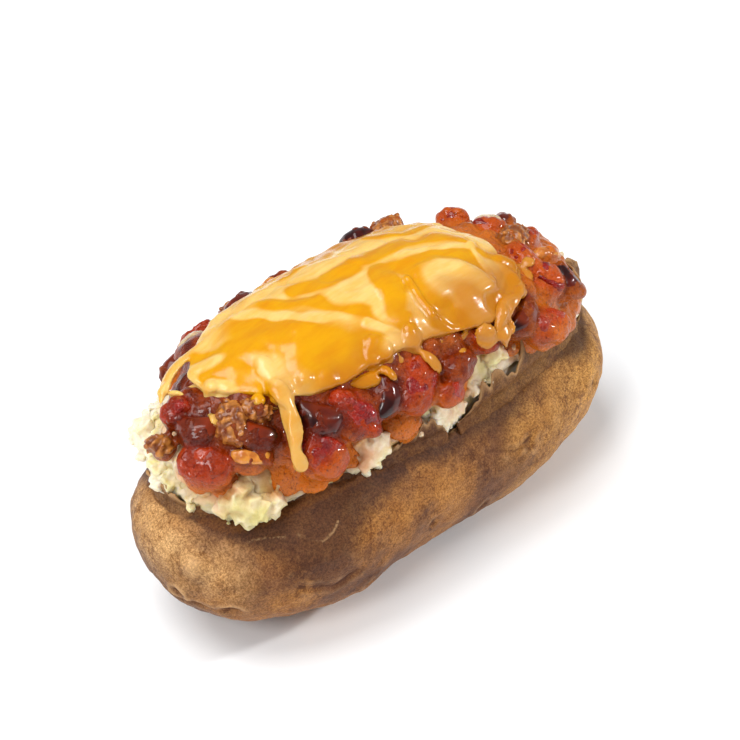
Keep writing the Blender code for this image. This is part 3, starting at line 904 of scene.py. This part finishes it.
def make_sauce(rng):
    shape = cad_copy("chili")
    flesh = tree_of("flesh")
    for node in TOPPINGS:
        middle = middle_of(node)
        low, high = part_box(node)
        foot, _, _, _ = flesh.find_nearest(middle)
        outward = (middle - foot).normalized()
        span = (high - low).length / 2 / MM
        add_disc(shape, middle - outward * 1.8 * MM, outward, span * 0.74, span * 0.42)
        if node.startswith("onion"):
            continue
        film = cad_copy(node)
        bmesh.ops.subdivide_edges(film, edges=film.edges, cuts=2, use_grid_fill=True)
        film.normal_update()
        for vertex in film.verts:
            cover = 0.9 * lumps(vertex.co, 4.5 * MM, 11) + 0.6 * (0.55 - vertex.normal.z)
            vertex.co += vertex.normal * MM * (cover + COVER.get(node, 0.0))
        join(shape, film)
    for along, roll, radius, thickness in CHILI_POURS:
        add_disc(shape, *on_heap(flesh, along, roll), radius, thickness)
    chili = tree_of("chili", "flesh")
    for along, roll, radius, thickness in CHEESE_LOBES:
        add_disc(shape, *on_heap(chili, along, roll), radius, thickness * 1.9)
    for place in CHEESE_EDGE:
        add_disc(shape, *on_heap(chili, *place), 3.4, 2.4, 2)
    tree, owners = owners_tree("flesh", "chili", "cheese", *TOPPINGS)
    bits = []
    while len(bits) < SAUCE_BITS:
        way = random_way(rng)
        place, normal, face, _ = tree.ray_cast(heap_axis(rng.uniform(-50, 50)) + way * OUTSIDE, -way)
        if place is None or owners[face] in ("flesh", "cheese", "onion_1", "onion_2"):
            continue
        size = (0.35 + 1.0 * rng.random() ** 2) * MM
        bits.append((place - normal * size * 0.35, size))
    scatter(shape, rng, bits)
    shape = remeshed(shape, "chili")
    smooth(shape, 1)
    push(shape, lambda place, normal: MM * (0.5 * lumps(place, 4 * MM, 2) + 0.28 * lumps(place, 1.7 * MM, 5)))
    smooth(shape, 1)
    for kind in ("tomato", "bean", "beef"):
        tree = tree_of(*(node for node in TOPPINGS if node.startswith(kind)))
        away = [tree.find_nearest(v.co)[3] / (1.2 * MM) for v in shape.verts]
        mark(shape, "by_" + kind, [0.85 * math.exp(-distance) for distance in away])
    deep, orange = [], []
    for vertex in shape.verts:
        along, height = vertex.co.x / (50 * MM), vertex.co.z / MM
        uneven = 0.5 * lumps(vertex.co, 5 * MM)
        deep.append(clamp(uneven - 0.2 - along, 0.0, 0.7) * clamp((height - 56) / 5))
        orange.append(clamp(uneven + max(along, (59 - height) / 9), 0.0, 0.75))
    mark(shape, "deep", deep)
    mark(shape, "orange", orange)
    mark(shape, "thin", [max(0.0, 1 - flesh.find_nearest(v.co)[3] / (1.9 * MM)) for v in shape.verts])
    finish_piece("chili_sauce", shape, sauce_finish(), ["chili"])


def smooth_path(tree, places):
    """Points along the places on the heap, close together."""
    points, steps = [], 8
    for (a, b), (c, d) in zip(places, places[1:]):
        for step in range(steps):
            share = step / steps
            points.append(on_heap(tree, a + (c - a) * share, b + (d - b) * share)[0])
    points.append(on_heap(tree, *places[-1])[0])
    for _ in range(3):
        middle = [(p + 2 * q + r) / 4 for p, q, r in zip(points, points[1:], points[2:])]
        points = [points[0], *middle, points[-1]]
    return np.array(points)


def ribbon_share(co, path, half_width):
    """1 on the path, 0 at its half-width and beyond, for each of the places."""
    best = np.full(len(co), 1e9)
    for start, end in zip(path, path[1:]):
        along = end - start
        share = np.clip(((co - start) @ along) / max(along @ along, 1e-12), 0, 1)
        best = np.minimum(best, np.linalg.norm(co - start - share[:, None] * along, axis=1))
    return np.clip(1 - best / half_width, 0, 1)


def shape_cheese(rng, chili):
    """The cheese with its lobes, uneven edge and hanging strands as one skin."""
    shape = cad_copy("cheese")
    for along, roll, radius, thickness in CHEESE_LOBES:
        add_disc(shape, *on_heap(chili, along, roll), radius, thickness)
    dressed = tree_of("chili", "flesh", "cheese", *TOPPINGS)
    edge = smooth_path(dressed, CHEESE_EDGE)
    for place in edge[::5]:
        place, normal, _, _ = dressed.find_nearest(Vector(place) + random_way(rng) * 2.2 * MM)
        add_disc(shape, place + normal * 0.1 * MM, normal, rng.uniform(1.2, 3.0), rng.uniform(0.5, 0.9), 2)
    for half_width, thickness, places in STRANDS:
        strand = bmesh.new()
        for number, place in enumerate(smooth_path(dressed, places)):
            place, normal, _, _ = dressed.find_nearest(Vector(place))
            width = half_width * (1 + 0.25 * math.sin(number * 0.45))
            add_disc(strand, place + normal * 0.6 * MM, normal, width, thickness, 2)
        join(shape, strand)
    shape = remeshed(shape, "cheese")
    drop_islands(shape, 6000)
    smooth(shape, 7)
    return shape


def far_shreds(rng):
    """Random shreds for the far side of the cheese."""
    shreds = []
    for _ in range(FAR_SHREDS):
        along, roll = rng.uniform(-44, 30), rng.uniform(-44, -18)
        places = [(along, roll)]
        for _ in range(3):
            along += rng.uniform(3, 8)
            roll += rng.uniform(-7, 7)
            places.append((along, roll))
        shreds.append((rng.random() < 0.55, rng.uniform(1.2, 3.0), rng.uniform(0.5, 1.0), places))
    return shreds


def melt_shreds(shape, shreds):
    """Raises the half-melted shreds on the cheese, drapes it, and marks how golden it is."""
    tree = tree_of("cheese")
    co = np.array([v.co for v in shape.verts])
    shape.normal_update()
    normals = np.array([v.normal for v in shape.verts])
    height = np.zeros(len(co))
    golden = np.full(len(co), 0.36)
    warp = np.array([noise.noise_vector(Vector(p) / (6 * MM)) for p in co]) * 1.4 * MM
    for tone, half_width, rise, places in shreds:
        share = ribbon_share(co + warp, smooth_path(tree, places), half_width * MM * 1.35)
        dome = np.sqrt(np.clip(1 - (1 - share) ** 2.2, 0, 1))
        height = np.maximum(height * (1 - 0.5 * dome), dome * rise * 0.9)
        cover = np.clip(share * 1.7, 0, 1) ** 1.5
        golden = golden * (1 - cover) + tone * cover
    up = np.clip((normals[:, 2] + 0.15) / 0.5, 0, 1)
    for vertex, rise, share in zip(shape.verts, height, up):
        drape = 1.0 * lumps(vertex.co, 10 * MM, 21) + 0.4 * lumps(vertex.co, 5 * MM, 22)
        vertex.co += vertex.normal * ((rise + drape) * share * MM)
    mark(shape, "golden", golden)


def make_cheese(rng):
    chili = tree_of("chili", "flesh")
    shape = shape_cheese(rng, chili)
    melt_shreds(shape, [*SHREDS, *far_shreds(rng)])
    smooth(shape, 2)
    push(shape, lambda place, normal: 0.18 * MM * lumps(place, 4 * MM, 9))
    thin, painted_slope_shade = [], []
    for vertex in shape.verts:
        depth = chili.find_nearest(vertex.co)[3] / MM
        thin.append(clamp((1.9 - depth) / 1.4) * 0.7)
        # Painted shade: more amber down the steep sides and towards +X, little at the -X end.
        middle = heap_axis(vertex.co.x / MM)
        slope = math.degrees(math.atan2(abs(vertex.co.y - middle.y), vertex.co.z - middle.z))
        reach = (slope - 20) / 18 + max(0.0, vertex.co.x / (60 * MM)) + 0.5 * lumps(vertex.co, 8 * MM, 5)
        painted_slope_shade.append(clamp(reach, 0.0, 0.35 if vertex.co.x < -34 * MM else 0.85))
    mark(shape, "thin", thin)
    mark(shape, "painted_slope_shade", painted_slope_shade)
    finish_piece("melted_cheese", shape, cheese_finish(), ["cheese"])


# ---------------------------------------------------------------- what lies in the chili


def swell(kind):
    """How far a topping of this kind stands out of its solid, for push()."""
    if kind == "tomato":
        return lambda place, _: MM * (1.1 * lumps(place, 4 * MM, 4) + 0.35 * lumps(place, 1.6 * MM, 8) - 0.1)
    if kind == "bean":
        return lambda place, _: MM * (0.15 + 0.2 * lumps(place, 5 * MM, 6))
    return lambda place, _: MM * 0.25 * lumps(place, 2 * MM, 1)


def mark_sauced(shape):
    """Where a film of sauce colours a topping."""
    sauced = []
    for vertex in shape.verts:
        film = 0.5 + 1.6 * lumps(vertex.co, 14 * MM, 2) + 0.5 * lumps(vertex.co, 2.5 * MM)
        sauced.append(clamp(film) * 0.7)
    mark(shape, "sauced", sauced)


def make_toppings(rng):
    finishes = {
        "bean": bean_finish(),
        "tomato": tomato_finish(),
        "beef": beef_finish(),
        "pepper": pepper_finish(),
        "onion": onion_finish(),
    }
    names = {
        "bean": "kidney_bean",
        "tomato": "tomato_piece",
        "beef": "beef_crumb",
        "pepper": "pepper_strip",
        "onion": "onion_piece",
    }
    for node in TOPPINGS:
        kind, number = node.split("_")
        shape = cad_copy(node)
        if kind == "beef":
            places = [f.calc_center_median() for f in shape.faces for _ in range(2)]
            middle = middle_of(node)
            for place in places:
                size = rng.uniform(0.5, 0.95) * MM
                spot = middle.lerp(place, rng.uniform(0.75, 1.0)) + random_way(rng) * 0.7 * MM
                add_crumb(shape, rng, spot, size)
            shape = remeshed(shape, "beef")
            smooth(shape, 1)
            crevices(shape, 5)
        else:
            shape = remeshed(shape, "topping")
            smooth(shape, 4)
            push(shape, swell(kind))
        mark_sauced(shape)
        finish_piece(names[kind] + "_" + number, shape, finishes[kind], [node])


# ---------------------------------------------------------------- studio


def way_to(turn, height):
    """The direction that is turned from +X about +Z and raised by these degrees."""
    turn, height = math.radians(turn), math.radians(height)
    return Vector((math.cos(turn) * math.cos(height), math.sin(turn) * math.cos(height), math.sin(height)))


def stand_camera():
    back = way_to(CAMERA_TURN, CAMERA_HEIGHT)
    camera = bpy.data.objects.new("camera", bpy.data.cameras.new("camera"))
    camera.data.lens = 100
    camera.data.sensor_width = 36
    camera.location = Vector(CAMERA_AIM) + back * CAMERA_DISTANCE
    camera.rotation_euler = (-back).to_track_quat("-Z", "Y").to_euler()
    bpy.context.scene.collection.objects.link(camera)
    bpy.context.scene.camera = camera


def hang_light(name, turn, height, distance, size, power):
    """A soft panel aimed at the potato."""
    way = way_to(turn, height)
    data = bpy.data.lights.new(name, "AREA")
    data.shape = "SQUARE"
    data.size = size
    data.energy = power
    light = bpy.data.objects.new(name, data)
    light.location = Vector((0, 0, 0.03)) + way * distance
    light.rotation_euler = (-way).to_track_quat("-Z", "Y").to_euler()
    bpy.context.scene.collection.objects.link(light)


def lay_floor():
    shape = bmesh.new()
    bmesh.ops.create_grid(shape, x_segments=1, y_segments=1, size=8)
    material, _, shader = new_finish("white_floor", Roughness=0.9, Specular_IOR_Level=0.1)
    shader.inputs["Base Color"].default_value = FLOOR_COLOUR
    mesh = bpy.data.meshes.new("floor")
    shape.to_mesh(mesh)
    shape.free()
    mesh.materials.append(material)
    floor = bpy.data.objects.new("floor", mesh)
    floor.location.z = -FLOOR_GAP
    bpy.context.scene.collection.objects.link(floor)


def light_studio():
    world = bpy.data.worlds.new("studio")
    world.use_nodes = True
    background = world.node_tree.nodes["Background"]
    background.inputs["Color"].default_value = SKY_COLOUR
    background.inputs["Strength"].default_value = SKY_STRENGTH
    bpy.context.scene.world = world
    for light in LIGHTS:
        hang_light(*light)
    bpy.context.scene.view_settings.view_transform = "Standard"


make_jacket()
make_flesh(random.Random(11))
make_sauce(random.Random(12))
make_cheese(random.Random(13))
make_toppings(random.Random(14))
stand_camera()
light_studio()
lay_floor()
